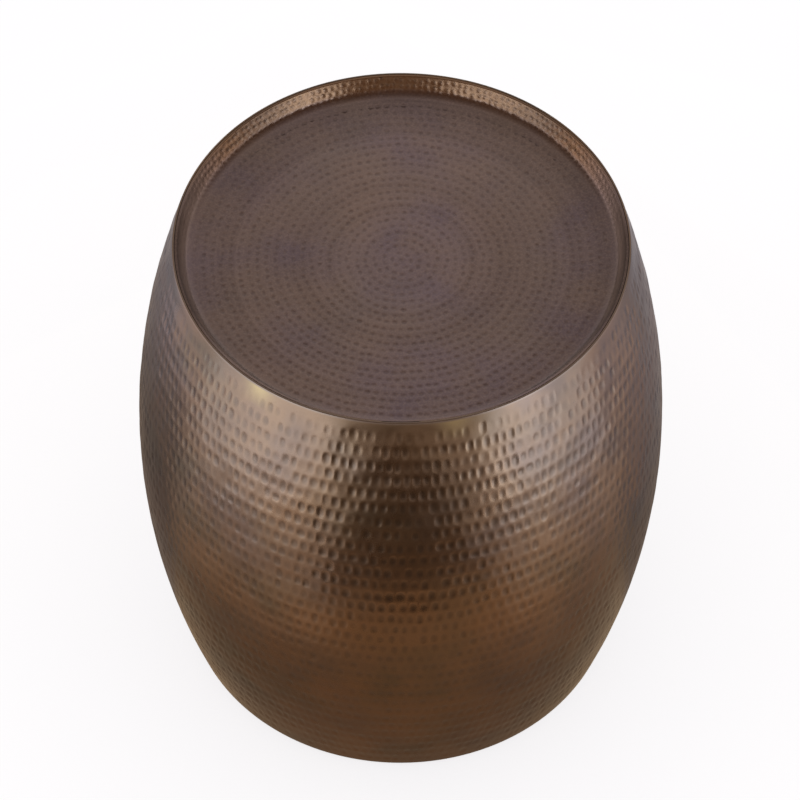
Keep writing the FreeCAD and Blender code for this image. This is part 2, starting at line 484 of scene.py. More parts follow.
@dataclass
class RingSurface:
    """A closed surface made of rings of points around the axis.

    Of two neighbouring rings, both have as many points, or one has twice as many, or one is a single point.
    """

    rings: list[np.ndarray] = field(default_factory=list)
    marks: list[dict[Mark, np.ndarray | float]] = field(default_factory=list)

    def add(
        self,
        angles: np.ndarray,
        radii: np.ndarray | float,
        heights: np.ndarray | float,
        marks: dict[Mark, np.ndarray | float] | None = None,
    ) -> None:
        """Adds a ring next to the last one.

        Args:
            angles: Angle of each point around the axis.
            radii: Distance of each point from the axis.
            heights: Height of each point.
            marks: Values, 0 to 1, that the finish reads at each point.
        """
        heights = np.broadcast_to(heights, len(angles))
        self.rings.append(np.column_stack([radii * np.cos(angles), radii * np.sin(angles), heights]))
        self.marks.append(marks or {})

    def strip(self, first: int, second: int, starts: list[int]) -> list[list[int]]:
        """Gives the faces between two rings.

        Args:
            first: Index of one ring.
            second: Index of the ring next to it.
            starts: Index of each ring's first point.

        Returns:
            The faces, as lists of point indices.
        """
        low_count = len(self.rings[first])
        high_count = len(self.rings[second])
        steps = np.arange(min(low_count, high_count))

        def low(index: np.ndarray) -> np.ndarray:
            """Point indices on the first ring."""
            return starts[first] + index % low_count

        def high(index: np.ndarray) -> np.ndarray:
            """Point indices on the second ring."""
            return starts[second] + index % high_count

        if low_count == high_count:
            corners = [np.column_stack([low(steps), low(steps + 1), high(steps + 1), high(steps)])]
        elif low_count == 1:
            steps = np.arange(high_count)
            corners = [np.column_stack([low(steps), high(steps + 1), high(steps)])]
        elif high_count == 1:
            steps = np.arange(low_count)
            corners = [np.column_stack([low(steps), low(steps + 1), high(steps)])]
        elif low_count == 2 * high_count:
            middle = low(2 * steps + 1)
            corners = [
                np.column_stack([low(2 * steps), middle, high(steps)]),
                np.column_stack([middle, high(steps + 1), high(steps)]),
                np.column_stack([middle, low(2 * steps + 2), high(steps + 1)]),
            ]
        else:
            middle = high(2 * steps + 1)
            corners = [
                np.column_stack([low(steps), middle, high(2 * steps)]),
                np.column_stack([low(steps), low(steps + 1), middle]),
                np.column_stack([low(steps + 1), high(2 * steps + 2), middle]),
            ]
        return [face for group in corners for face in group.tolist()]

    def mesh(self, name: str, closed: bool) -> bpy.types.Mesh:
        """Makes the mesh.

        Args:
            name: The mesh's name.
            closed: Whether the last ring joins the first.

        Returns:
            The mesh, with the values its finish reads.
        """
        starts = np.concatenate([[0], np.cumsum([len(ring) for ring in self.rings])]).tolist()
        pairs = [(index, index + 1) for index in range(len(self.rings) - 1)]
        if closed:
            pairs.append((len(self.rings) - 1, 0))
        strips = [self.strip(*pair, starts) for pair in pairs]
        mesh = bpy.data.meshes.new(name)
        mesh.from_pydata(np.concatenate(self.rings), [], [face for strip in strips for face in strip])
        for mark in Mark:
            values = [
                np.broadcast_to(marks.get(mark, 0.0), len(ring))
                for marks, ring in zip(self.marks, self.rings)
            ]
            layer = mesh.attributes.new(mark.value, "FLOAT", "POINT")
            layer.data.foreach_set("value", np.concatenate(values).astype(np.float32))
        self.unroll(mesh, [len(strip) for strip in strips], closed)
        mesh.shade_smooth()
        mesh.update()
        return mesh

    def unroll(self, mesh: bpy.types.Mesh, strip_sizes: list[int], closed: bool) -> None:
        """Lays the surface out flat: a closed one as a band, and any other as two discs beside each other.

        Args:
            mesh: The mesh.
            strip_sizes: How many faces lie between each ring and the next.
            closed: Whether the last ring joins the first.
        """
        radii = [np.hypot(ring[:, 0], ring[:, 1]).mean() for ring in self.rings]
        outline = np.column_stack([radii, [ring[:, 2].mean() for ring in self.rings]])
        steps = np.hypot(*np.diff(outline, axis=0, append=outline[:1]).T)
        path = np.concatenate([[0.0], np.cumsum(steps)[:-1]])
        corners = numbers(mesh.loops, "vertex_index")
        sizes = numbers(mesh.polygons, "loop_total")
        places = np.concatenate(self.rings)
        angles = np.arctan2(places[:, 1], places[:, 0])[corners]
        along = np.repeat(path, [len(ring) for ring in self.rings])[corners]
        if closed:
            flat = np.column_stack([angles / FULL_TURN % 1.0, along / steps.sum()])
            first = np.cumsum(sizes) - sizes
            furthest = np.repeat(np.maximum.reduceat(flat, first), sizes, axis=0)
            flat += furthest - flat > 0.5
        else:
            turning = int(np.argmax(outline[:, 0]))
            strip = np.repeat(np.repeat(np.arange(len(strip_sizes)), strip_sizes), sizes)
            under = strip >= turning
            reach = np.where(under, (path[-1] - along) / (path[-1] - path[turning]), along / path[turning])
            # The upper side's disc takes the left half of the map, and the underside's the right half.
            flat = np.column_stack([np.cos(angles) * reach / 4, np.sin(angles) * reach / 2]) * DISC_FILL
            flat += np.where(under[:, None], (0.75, 0.5), (0.25, 0.5))
        layer = mesh.uv_layers.new(name=MAP_NAME)
        layer.uv.foreach_set("vector", flat.astype(np.float32).ravel())


@dataclass(frozen=True)
class WallArc:
    """The wall's outline: one arc through the two mouths and the belly."""

    bottom: float = 0.005
    height: float = 0.438
    mouth_radius: float = 0.1725
    swell: float = 0.0324

    @property
    def radius(self) -> float:
        """Radius of the arc."""
        half = self.height / 2
        return (half**2 + self.swell**2) / (2 * self.swell)

    @property
    def length(self) -> float:
        """Length of the arc, from the bottom edge to the rim."""
        return 2 * self.radius * math.asin(self.height / 2 / self.radius)

    def point(self, along: np.ndarray, inset: np.ndarray | float) -> tuple[np.ndarray, np.ndarray]:
        """Finds points on the wall.

        Args:
            along: Distance along the arc from the bottom edge.
            inset: Depth below the outside.

        Returns:
            Distances from the axis and heights.
        """
        turn = (along - self.length / 2) / self.radius
        centre = self.mouth_radius + self.swell - self.radius
        out = centre + (self.radius - inset) * np.cos(turn)
        up = self.bottom + self.height / 2 + (self.radius - inset) * np.sin(turn)
        return out, up


@dataclass
class HammerRows:
    """Rows of upright oval hammer marks around the wall, each row staggered by half a mark."""

    rows: int = 32
    marks: int = 164
    end_margin: float = 0.014
    depth: float = 0.00030
    # Half sizes and side shifts are shares of the spacing between marks.
    half_width: float = 0.42
    half_height: float = 0.42
    bowl: float = 1.3
    side_jitter: float = 0.11
    side_drift: float = 0.2
    rise_jitter: float = 0.0009
    rise_wander: float = 0.0008
    rise_limit: float = 0.0018
    wander_waves: tuple[int, ...] = (3, 5, 9)
    depth_jitter: float = 0.32
    depth_range: tuple[float, float] = (0.3, 1.4)
    end_depth: tuple[float, float] = (0.1, 1.0)
    size_jitter: float = 0.10
    size_range: tuple[float, float] = (0.75, 1.15)
    seed: int = 7
    # Where the points of a mark lie, as shares of the spacing.
    across: tuple[float, ...] = (-0.5, -0.4, -0.22, 0.0, 0.22, 0.4)
    upward: tuple[float, ...] = (-0.5, -0.41, -0.28, -0.14, 0.0, 0.14, 0.28, 0.41)

    def __post_init__(self) -> None:
        """Draws how each mark differs from the even pattern."""
        random = np.random.default_rng(self.seed)
        shape = (self.rows, self.marks)
        self.side = random.uniform(-self.side_jitter, self.side_jitter, shape)
        self.rise = random.normal(0.0, self.rise_jitter, shape)
        self.deep = self.depth * random.normal(1.0, self.depth_jitter, shape).clip(*self.depth_range)
        self.wide = self.half_width * random.normal(1.0, self.size_jitter, shape).clip(*self.size_range)
        self.tall = self.half_height * random.normal(1.0, self.size_jitter, shape).clip(*self.size_range)
        turn = np.arange(self.marks) / self.marks * FULL_TURN
        for row in range(self.rows):
            for waves in self.wander_waves:
                self.rise[row] += self.rise_wander / 2 * np.sin(waves * turn + random.uniform(0, FULL_TURN))
                self.side[row] += self.side_drift / 2 * np.sin(waves * turn + random.uniform(0, FULL_TURN))
        self.rise = self.rise.clip(-self.rise_limit, self.rise_limit)
        for row in (0, self.rows - 1):
            self.deep[row] *= random.uniform(*self.end_depth, self.marks)

    @property
    def columns(self) -> int:
        """Points around the outside."""
        return self.marks * len(self.across)

    def line(self, row: int, up: float) -> tuple[np.ndarray, np.ndarray, np.ndarray]:
        """Lays one line of points across a row of marks.

        Args:
            row: The row, counted from the bottom.
            up: Height within the row, -0.5 to 0.5 of the spacing.

        Returns:
            Angle, rise and depth of each point.
        """
        slots = len(self.across)
        odd = row % 2
        lattice = np.arange(self.columns) + odd * slots // 2
        mark = lattice // slots % self.marks
        across = np.array(self.across)[lattice % slots]
        beside = np.where(across < 0, mark - 1, mark + 1) % self.marks
        share = np.abs(across)
        side = self.side[row, mark] * (1 - share) + self.side[row, beside] * share
        rise = self.rise[row, mark] * (1 - share) + self.rise[row, beside] * share
        rise *= 1 - 2 * abs(up)
        reach = (across / self.wide[row, mark]) ** 2 + (up / self.tall[row, mark]) ** 2
        depth = self.deep[row, mark] * np.maximum(0.0, 1 - reach**self.bowl)
        angle = (lattice // slots + (1 - odd) / 2 + across + side) * FULL_TURN / self.marks
        return angle, rise, depth

    def lines(self, length: float) -> list[tuple[np.ndarray, np.ndarray, np.ndarray]]:
        """Lays all the lines of points, from the bottom row to the top row.

        Args:
            length: Length of the wall's arc.

        Returns:
            Angle, distance along the arc and depth of the points of each line.
        """
        pitch = (length - 2 * self.end_margin) / (self.rows - 1)
        found = []
        for row in range(self.rows):
            for up in self.upward:
                angle, rise, depth = self.line(row, up)
                if up == self.upward[0] and row > 0:
                    angle = (angle + self.line(row - 1, 0.5)[0]) / 2
                found.append((angle, self.end_margin + (row + up) * pitch + rise, depth))
        angle, rise, depth = self.line(self.rows - 1, 0.5)
        found.append((angle, self.end_margin + (self.rows - 0.5) * pitch + rise, depth))
        return found


@dataclass(frozen=True)
class SheetWaves:
    """Soft shallow waves that the hammering leaves in the wall, weaker toward the bottom."""

    swing: float = 0.00014
    bottom_share: float = 0.2
    # Their mean depth, in swings.
    mean_depth: float = 2.0
    count: int = 24
    lengths: tuple[float, float] = (0.013, 0.05)
    radius: float = 0.19
    end_fade: float = 0.014
    seed: int = 5

    def depth_at(self, angles: np.ndarray, along: np.ndarray, length: float) -> np.ndarray:
        """Finds how deep the waves are.

        Args:
            angles: Angles of the points around the axis.
            along: Their distances along the wall's arc from the bottom edge.
            length: Length of the arc.

        Returns:
            Depth at each point, none at the two edges.
        """
        random = np.random.default_rng(self.seed)
        total = np.zeros_like(angles)
        for _ in range(self.count):
            size = random.uniform(*self.lengths)
            way = random.uniform(0, FULL_TURN)
            around = round(FULL_TURN * self.radius * math.cos(way) / size)
            upward = FULL_TURN * math.sin(way) / size
            total += np.sin(around * angles + upward * along + random.uniform(0, FULL_TURN))
        waves = np.maximum(0.0, self.mean_depth + total / math.sqrt(self.count / 2))
        growth = self.bottom_share + (1 - self.bottom_share) * along / length
        return self.swing * waves * growth * ramp(np.minimum(along, length - along), 0.0, self.end_fade)


@dataclass
class HammeredShell:
    """The barrel wall: one sheet, hammered all over its outside."""

    arc: WallArc = field(default_factory=WallArc)
    rows: HammerRows = field(default_factory=HammerRows)
    waves: SheetWaves = field(default_factory=SheetWaves)
    sheet: float = 0.0015
    # The edges' roundings: at the outside, and at the inside along the flat and along the wall.
    edge_round: float = 0.0004
    groove_round: float = 0.00015
    inside_round: float = 0.00045
    # How strong the edges' painted tone is at the front, painted light over the rim's dark line there.
    edge_share: float = 0.9
    # Distances of the two unhammered rings from each edge.
    plain_rings: tuple[float, float] = (0.002, 0.004)
    # How much of a mark shows on the inside, and how much deeper the marks are at the rim.
    show_through: float = 0.25
    top_depth: float = 1.45
    # How dark the marks are at heights along the arc.
    patina_heights: tuple[float, ...] = (0.0, 0.4, 0.65, 0.8, 1.0)
    patina_shares: tuple[float, ...] = (0.2, 0.42, 0.9, 0.85, 0.4)
    # The two painted golden highlights under the rim.
    glow_reach: float = 0.02
    highlight_turns: tuple[float, ...] = (math.radians(-127.0), math.radians(-77.0))
    highlight_half: float = math.radians(3.5)

    @property
    def even_angles(self) -> np.ndarray:
        """Angles of points that are spaced evenly around the outside."""
        return np.arange(self.rows.columns) / self.rows.columns * FULL_TURN

    def edge(self, surface: RingSurface, along: float, inward: bool) -> None:
        """Rounds the sheet's edge at the rim or at the bottom.

        Args:
            surface: Where the rings go.
            along: Distance of the edge along the wall's arc.
            inward: Whether the rings go from the outside to the inside.
        """
        angles = self.even_angles
        back = -1.0 if along > 0 else 1.0
        outer = np.array(self.arc.point(along, 0.0))
        inner = np.array(self.arc.point(along, self.sheet))
        inner[1] = outer[1]
        outside = np.array(self.arc.point(along + back * self.edge_round, 0.0))
        inside = np.array(self.arc.point(along + back * self.inside_round, self.sheet))
        path = edge_path(outside, (outer, inner), inside, (self.edge_round, self.groove_round))
        for out, up in path if inward else reversed(path):
            surface.add(angles, out, up, {Mark.EDGE: self.edge_share * (1.0 - edge_shade_share(angles))})

    def glow(self, angles: np.ndarray, below: np.ndarray | float) -> np.ndarray:
        """Finds where a painted golden highlight lies under the rim.

        Args:
            angles: Angles of the points around the axis.
            below: Their distances below the rim.

        Returns:
            How golden each point is, 0 to 1.
        """
        near = np.zeros_like(angles)
        for turn in self.highlight_turns:
            away = (angles - turn + math.pi) % FULL_TURN - math.pi
            near += np.exp(-((away / self.highlight_half) ** 2))
        return near * np.clip(1 - below / self.glow_reach, 0.0, 1.0)

    def build(self) -> bpy.types.Object:
        """Builds the wall.

        Returns:
            The new piece.
        """
        surface = RingSurface()
        length = self.arc.length
        even = self.even_angles
        lines = self.rows.lines(length)
        self.edge(surface, 0.0, inward=False)
        for along in self.plain_rings:
            surface.add(even, *self.arc.point(along, 0.0))
        for angle, along, even_depth in lines:
            depth = even_depth * (1 + (self.top_depth - 1) * along / length)
            patina = np.interp(along / length, self.patina_heights, self.patina_shares)
            marks = {
                Mark.DENT: depth / self.rows.depth * patina,
                Mark.RIM_GLOW: self.glow(angle, length - along),
            }
            inset = depth + self.waves.depth_at(angle, along, length)
            surface.add(angle, *self.arc.point(along, inset), marks)
        for below in reversed(self.plain_rings):
            marks = {Mark.RIM_GLOW: self.glow(even, below)}
            surface.add(even, *self.arc.point(length - below, 0.0), marks)
        self.edge(surface, length, inward=True)
        for angle, along, depth in reversed(lines[::2]):
            inside = self.sheet + self.show_through * depth[::2]
            inside += self.waves.depth_at(angle, along, length)[::2]
            surface.add(angle[::2], *self.arc.point(along[::2], inside))
        return bpy.data.objects.new("hammered_shell", surface.mesh("hammered_shell", closed=True))

    def dress(self, piece: bpy.types.Object, finish: HammeredBronze) -> None:
        """Gives the wall its finish and its place in the frame.

        Args:
            piece: The built wall.
            finish: Its finish.
        """
        piece.data.materials.append(finish.material())
        settle(piece, "barrel_shell")


@dataclass
class HammerRings:
    """Rings of small hammer pits around the tray's middle."""

    pitch: float = 0.0068
    spacing: float = 0.0066
    half_width: float = 0.0030
    half_reach: float = 0.0022
    depth: float = 0.00036
    jitter: float = 0.0005
    depth_jitter: float = 0.16
    depth_range: tuple[float, float] = (0.3, 1.5)
    end_margin: float = 0.0015
    seed: int = 19

    def depth_at(self, radii: np.ndarray, angles: np.ndarray, flat_radius: float) -> np.ndarray:
        """Finds how deep the pits are.

        Args:
            radii: Distances of the points from the middle, along the sheet.
            angles: Their angles.
            flat_radius: Radius of the flat floor.

        Returns:
            Depth at each point.
        """
        random = np.random.default_rng(self.seed)
        depth = np.zeros_like(radii)
        for ring in range(int((flat_radius - self.end_margin) / self.pitch) + 1):
            radius = ring * self.pitch
            count = max(1, round(FULL_TURN * radius / self.spacing))
            depth = np.maximum(depth, self.ring_depth(random, radii, angles, radius, count))
        return depth

    def ring_depth(
        self, random: np.random.Generator, radii: np.ndarray, angles: np.ndarray, radius: float, count: int
    ) -> np.ndarray:
        """Finds how deep one ring's pits are.

        Args:
            random: Where the pits' differences are drawn from.
            radii: Distances of the points from the middle.
            angles: Their angles.
            radius: The ring's radius.
            count: How many pits it has.

        Returns:
            Depth at each point.
        """
        start = random.uniform(0, FULL_TURN)
        along = random.normal(0.0, self.jitter, count)
        outward = random.normal(0.0, self.jitter, count)
        deep = self.depth * random.normal(1.0, self.depth_jitter, count).clip(*self.depth_range)
        step = FULL_TURN / count
        turns = (angles - start) / step
        nearest = np.rint(turns).astype(int)
        pit = nearest % count
        side = (turns - nearest) * step * radius - along[pit]
        if radius == 0.0:
            side = np.zeros_like(radii)
        rise = radii - radius - outward[pit]
        reach = (side / self.half_width) ** 2 + (rise / self.half_reach) ** 2
        return deep[pit] * np.maximum(0.0, 1 - reach)


@dataclass
class HammeredTray:
    """The sunken tray: one dished sheet, hammered in rings, with its lip flush with the rim."""

    rim: float = 0.443
    depth: float = 0.013
    sheet: float = 0.0015
    bend: float = 0.009
    lip_slope: float = math.radians(60.0)
    lip_outer: float = 0.17083
    edge_round: float = 0.0004
    groove_round: float = 0.00015
    # How close the points lie on the upper side, and how few a ring has.
    step: float = 0.0009
    widest_gap: float = 0.0012
    fewest_columns: int = 8
    # The underside's first ring, its rings on lip, bend and floor, and how few and many points they have.
    under_start: float = 0.002
    under_rings: tuple[int, int, int] = (4, 9, 42)
    under_columns: tuple[int, int] = (64, 256)
    # The rings of pits lie off the middle, and end further out at the front than at the back.
    ring_shift: float = -0.006
    pit_reach: tuple[float, float] = (0.006, 0.0)
    pit_turn: tuple[float, float] = (-0.6, 0.9)
    pit_fade: float = 0.005
    middle_pit: float = 0.5
    ring_tarnish: float = 0.14
    lip_rows: int = 3
    lip_first_row: float = 0.7
    # Painted shade on the floor toward its sides, back, front and right: how strong, and at which shares of
    # its radius it starts and is full.
    side_shade: float = 0.24
    side_start: float = 0.15
    side_full: float = 0.55
    back_floor_shade: float = 0.34
    back_start: float = 0.72
    back_full: float = 0.97
    front_shade: float = 0.10
    right_shade: float = 0.2
    right_start: float = 0.88
    # Painted shade along the top of the lip at the sides, between sines of the angle around the axis.
    top_shade: float = 0.75
    top_reach: float = 0.008
    top_front: tuple[float, float] = (-0.68, -0.4)
    top_back: tuple[float, float] = (0.05, 0.35)
    # Two stretches of painted shade on the lip, as angles from the back.
    lip_shade: float = 0.56
    lip_shade_turn: float = math.radians(41.0)
    lip_shade_half: float = math.radians(11.0)
    # The lip's painted highlight starts at this share of the bend. It is a golden painted highlight at the
    # back and a paler painted sheen at the sides.
    highlight_start: float = 0.5
    highlight_side: float = 0.25
    highlight_full: float = 0.6
    sheen_sides: tuple[float, ...] = (-0.95, -0.7, -0.5, -0.26, 0.0, 0.35)
    sheen_shares: tuple[float, ...] = (0.3, 0.9, 0.65, 0.75, 0.75, 0.45)
    # How deep the lip's marks are at the sides, and how strong its edge's painted shade is at the back.
    side_marks: float = 0.5
    edge_share: float = 0.35
    pits: HammerRings = field(default_factory=HammerRings)
    lip_marks: HammerRings = field(
        default_factory=lambda: HammerRings(
            pitch=0.0046, spacing=0.0052, half_width=0.0021, half_reach=0.0020, depth=0.00026, seed=31
        )
    )

    @property
    def lip_inner(self) -> float:
        """Radius of the lip's inner edge at the rim."""
        return self.lip_outer - self.sheet / math.sin(self.lip_slope)

    @property
    def flat_radius(self) -> float:
        """Radius of the flat floor, inside the bend.

        Returns:
            The radius.
        """
        rise = self.bend * (1 - math.cos(self.lip_slope))
        reach = self.bend * math.sin(self.lip_slope)
        return self.lip_inner - (self.depth - rise) / math.tan(self.lip_slope) - reach

    @property
    def length(self) -> float:
        """Distance along the upper side from the middle to the rim."""
        straight = (self.depth - self.bend * (1 - math.cos(self.lip_slope))) / math.sin(self.lip_slope)
        return self.flat_radius + self.bend * self.lip_slope + straight

    def point(self, along: float, under: np.ndarray | float) -> tuple[np.ndarray, np.ndarray]:
        """Finds points on the tray.

        Args:
            along: Distance along the upper side from the middle.
            under: Depth below the upper side.

        Returns:
            Distances from the axis and heights.
        """
        floor = self.rim - self.depth
        turn = min(max(0.0, (along - self.flat_radius) / self.bend), self.lip_slope)
        straight = max(0.0, along - self.flat_radius - self.bend * self.lip_slope)
        flat = min(along, self.flat_radius)
        out = flat + (self.bend + under) * math.sin(turn) + straight * math.cos(turn)
        up = floor + self.bend - (self.bend + under) * math.cos(turn) + straight * math.sin(turn)
        return out, up

    def columns(self, radius: float) -> int:
        """Points around a ring, doubled until they lie close enough.

        Args:
            radius: The ring's radius.

        Returns:
            How many points it has.
        """
        count = self.fewest_columns
        while FULL_TURN * radius / count > self.widest_gap:
            count *= 2
        return count

    def at_back(self, angles: np.ndarray) -> np.ndarray:
        """Says how far points at angles around the axis take the lip's painted golden highlight at the back,
        0 to 1.
        """
        return ramp(np.sin(angles), self.highlight_side, self.highlight_full)

    def wear(self, along: float, angles: np.ndarray) -> dict[Mark, np.ndarray]:
        """Finds where the lip takes painted highlight or painted sheen, and where the metal takes painted
        shade.

        Args:
            along: Distance of the points along the upper side from the middle.
            angles: Their angles around the axis.

        Returns:
            How much painted highlight, painted sheen and painted shade each point takes, 0 to 1.
        """
        turn = (along - self.flat_radius) / (self.bend * self.lip_slope)
        up_lip = ramp(turn, self.highlight_start, 1.0)
        at_back = self.at_back(angles)
        at_side = (1.0 - at_back) * np.interp(np.sin(angles), self.sheen_sides, self.sheen_shares)
        reach = along / self.flat_radius
        outer = ramp(reach, self.side_start, self.side_full)
        back = ramp(reach, self.back_start, self.back_full)
        right = ramp(reach, self.right_start, 1.0)
        floor = self.side_shade * outer * np.cos(angles) ** 2
        floor += self.front_shade * outer * np.maximum(0.0, -np.sin(angles))
        floor += self.back_floor_shade * back * np.maximum(0.0, np.sin(angles))
        floor += self.right_shade * right * np.maximum(0.0, np.cos(angles))
        from_back = np.abs((angles - math.pi / 2 + math.pi) % FULL_TURN - math.pi)
        lip = self.lip_shade * np.exp(-(((from_back - self.lip_shade_turn) / self.lip_shade_half) ** 2))
        top = ramp(np.sin(angles), *self.top_front) * (1.0 - ramp(np.sin(angles), *self.top_back))
        lip += self.top_shade * ramp(along, self.length - self.top_reach, self.length) * top
        return {
            Mark.RIM_GLOW: up_lip * at_back,
            Mark.SIDE_SHEEN: up_lip * at_side,
            Mark.GRIME: floor * (1.0 - up_lip) + lip * up_lip,
        }

    def upper(self, surface: RingSurface) -> None:
        """Lays the hammered upper side, from the middle to the rim.

        Args:
            surface: Where the rings go.
        """
        stops = np.linspace(0.0, self.length - self.edge_round, round(self.length / self.step))
        rings = []
        for along in stops[1:]:
            count = self.columns(self.point(along, 0.0)[0])
            rings.append((along, np.arange(count) * (FULL_TURN / count)))
        radii = np.concatenate([np.full(len(angles), along) for along, angles in rings])
        turns = np.concatenate([angles for _, angles in rings])
        across = radii * np.cos(turns)
        back = radii * np.sin(turns) - self.ring_shift
        front, behind = self.pit_reach
        end = self.flat_radius + front + (behind - front) * ramp(np.sin(turns), *self.pit_turn)
        fade = 1.0 - ramp(radii, end - self.pit_fade, end)
        widest = self.flat_radius + front - self.ring_shift
        floor = fade * self.pits.depth_at(np.hypot(across, back), np.arctan2(back, across), widest)
        random = np.random.default_rng(self.lip_marks.seed)
        ring = np.rint(np.hypot(across, back) / self.pits.pitch).astype(int)
        tarnish = fade * random.uniform(0.0, self.ring_tarnish, ring.max() + 1)[ring]
        lip = np.zeros_like(radii)
        for row in range(self.lip_rows):
            radius = self.length - (row + self.lip_first_row) * self.lip_marks.pitch
            count = round(FULL_TURN * radius / self.lip_marks.spacing)
            lip = np.maximum(lip, self.lip_marks.ring_depth(random, radii, turns, radius, count))
        lip *= self.side_marks + (1.0 - self.side_marks) * self.at_back(turns)
        depth = np.maximum(floor, lip)
        middle = self.rim - self.depth - self.pits.depth * self.middle_pit
        surface.add(np.zeros(1), np.zeros(1), middle, {Mark.DENT: self.middle_pit})
        start = 0
        for along, angles in rings:
            here = depth[start : start + len(angles)]
            marks = self.wear(along, angles) | {Mark.DENT: here / self.pits.depth}
            # Random tarnish, one tone per ring of pits, joins the painted shade.
            marks[Mark.GRIME] += tarnish[start : start + len(angles)]
            surface.add(angles, *self.point(along, here), marks)
            start += len(angles)

    def edge(self, surface: RingSurface) -> None:
        """Rounds the lip's edge and turns to the underside.

        Args:
            surface: Where the rings go.
        """
        count = self.columns(self.lip_inner)
        angles = np.arange(count) * FULL_TURN / count
        edges = {Mark.EDGE: self.edge_share * edge_shade_share(angles), Mark.SIDE_SHEEN: 0.0}
        marks = self.wear(self.length, angles) | edges
        inner = np.array([self.lip_inner, self.rim])
        outer = np.array([self.lip_outer, self.rim])
        above = np.array(self.point(self.length - self.edge_round, 0.0))
        below = np.array(self.point(self.length - self.groove_round, self.sheet))
        path = edge_path(above, (inner, outer), below, (self.edge_round, self.groove_round))
        for out, up in path[1:]:
            surface.add(angles, np.full(count, out), up, marks)

    def underside(self, surface: RingSurface) -> None:
        """Lays the plain underside, from the rim back to the middle.

        Args:
            surface: Where the rings go.
        """
        count = self.columns(self.lip_inner)
        fewest, most = self.under_columns
        on_lip, on_bend, on_floor = self.under_rings
        lip_start = self.flat_radius + self.bend * self.lip_slope
        stops = list(np.linspace(self.length - self.under_start, lip_start, on_lip))
        stops += list(np.linspace(lip_start, self.flat_radius, on_bend)[1:])
        stops += list(np.linspace(self.flat_radius, 0.0, on_floor)[1:-1])
        for along in stops:
            if count > fewest and self.columns(along) < count or count > most:
                count //= 2
            angles = np.arange(count) * FULL_TURN / count
            out, up = self.point(along, self.sheet)
            surface.add(angles, np.full(count, out), up)
        surface.add(np.zeros(1), np.zeros(1), self.rim - self.depth - self.sheet)

    def build(self) -> bpy.types.Object:
        """Builds the tray.

        Returns:
            The new piece.
        """
        surface = RingSurface()
        self.upper(surface)
        self.edge(surface)
        self.underside(surface)
        return bpy.data.objects.new("hammered_tray", surface.mesh("hammered_tray", closed=False))

    def dress(self, piece: bpy.types.Object, finish: HammeredBronze) -> None:
        """Gives the tray its finish and its place in the frame.

        Args:
            piece: The built tray.
            finish: Its finish.
        """
        piece.data.materials.append(finish.material())
        settle(piece, "top_tray")


@dataclass(frozen=True)
class Fittings:
    """The CAD's own pieces inside the drum, which keep their shapes and get their finishes."""

    places: tuple[str, ...] = ("front", "right", "back", "left")

    def dress(self, steel: PlainFinish, zinc: PlainFinish, plastic: PlainFinish) -> None:
        """Gives each piece its finish.

        Args:
            steel: For the brackets and the hoop.
            zinc: For the studs, screws, nuts and washers.
            plastic: For the feet.
        """
        materials = {finish: finish.material() for finish in (steel, zinc, plastic)}
        groups = {
            Slot.BRACKET: (steel, ["seat_bracket_" + place for place in self.places]),
            Slot.HOOP: (steel, ["base_ring"]),
            Slot.FASTENER: (zinc, ["tray_studs", "tray_washers", "tray_nuts", "glide_screws", "glide_nuts"]),
            Slot.GLIDE: (plastic, ["floor_glide_" + place for place in self.places]),
        }
        for slot, (finish, names) in groups.items():
            for name in names:
                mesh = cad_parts[name].data
                mesh.materials.clear()
                mesh.materials.append(materials[finish])
                log.info("%s, of slot %s, wears %s", name, slot.value, finish.name)


@dataclass(frozen=True)
class SoftLamp:
    """A low soft lamp that stands beside the drum and that only the metal sees.

    Its angles, in degrees, go from the front around to its own side.
    """

    side: Side
    radiance: float
    start: float
    end: float
    bearing: float = 72.0
    distance: float = 0.67
    height: float = 0.75
    foot: float = 0.01
    colour: Colour = (0.76, 1.0, 1.26)

    def build(self) -> None:
        """Stands the lamp on the floor, facing the drum."""
        bearing = math.radians(self.bearing)
        start = self.distance * math.tan(math.radians(self.start) - bearing)
        end = self.distance * math.tan(math.radians(self.end) - bearing)
        lamp = bpy.data.lights.new("soft_lamp", "AREA")
        lamp.shape = "RECTANGLE"
        lamp.size = end - start
        lamp.size_y = self.height
        lamp.color = self.colour
        lamp.energy = self.radiance * math.pi * lamp.size * lamp.size_y
        holder = bpy.data.objects.new("soft_lamp", lamp)
        outward = Vector((self.side.value * math.sin(bearing), -math.cos(bearing), 0.0))
        backward = Vector((self.side.value * math.cos(bearing), math.sin(bearing), 0.0))
        holder.location = outward * self.distance + backward * (start + end) / 2
        holder.location.z = self.height / 2 + self.foot
        holder.rotation_mode = "QUATERNION"
        holder.rotation_quaternion = (-outward).to_track_quat("-Z", "Y")
        holder.visible_camera = False
        holder.visible_diffuse = False
        bpy.context.scene.collection.objects.link(holder)


